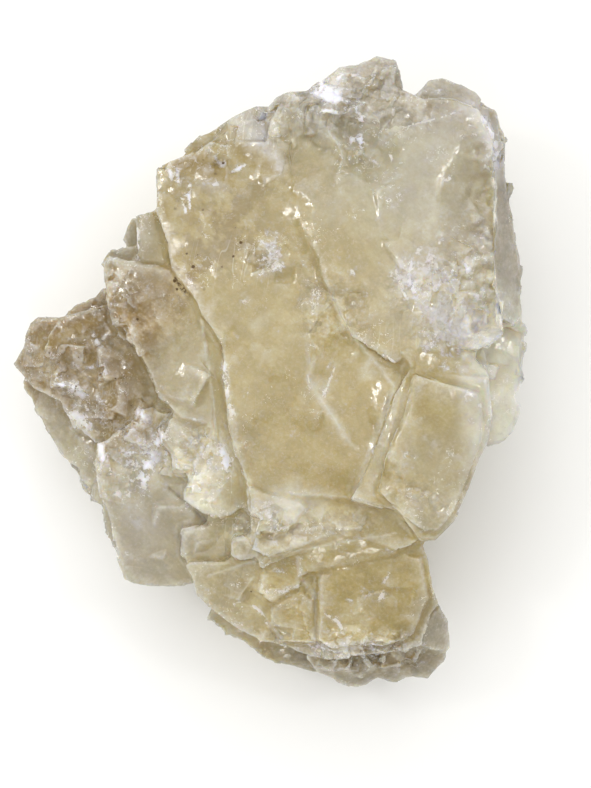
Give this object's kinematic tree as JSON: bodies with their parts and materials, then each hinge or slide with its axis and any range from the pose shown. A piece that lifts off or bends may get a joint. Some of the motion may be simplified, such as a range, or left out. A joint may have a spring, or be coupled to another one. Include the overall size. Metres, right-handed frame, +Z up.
{
  "type": "calcite crystal cluster",
  "caption": "Hand-sized cluster of intergrown honey-yellow calcite crystals with stepped cleavage faces, lying on its flat broken back",
  "frame": {"origin": "middle of the bounding box in plan, at the surface that the cluster lies on", "axes": "+Z up out of the large crystal faces, +Y along the longest extent towards the broad end, +X towards the thick slab's side"},
  "size_m": [0.1008, 0.1224, 0.0473],
  "materials": {
    "calcite": "translucent honey-yellow calcite with glossy cleavage faces, frosted white patches and small brown stains"
  },
  "bodies": {
    "root": {"calcite_cluster": "calcite"}
  },
  "joints": []
}
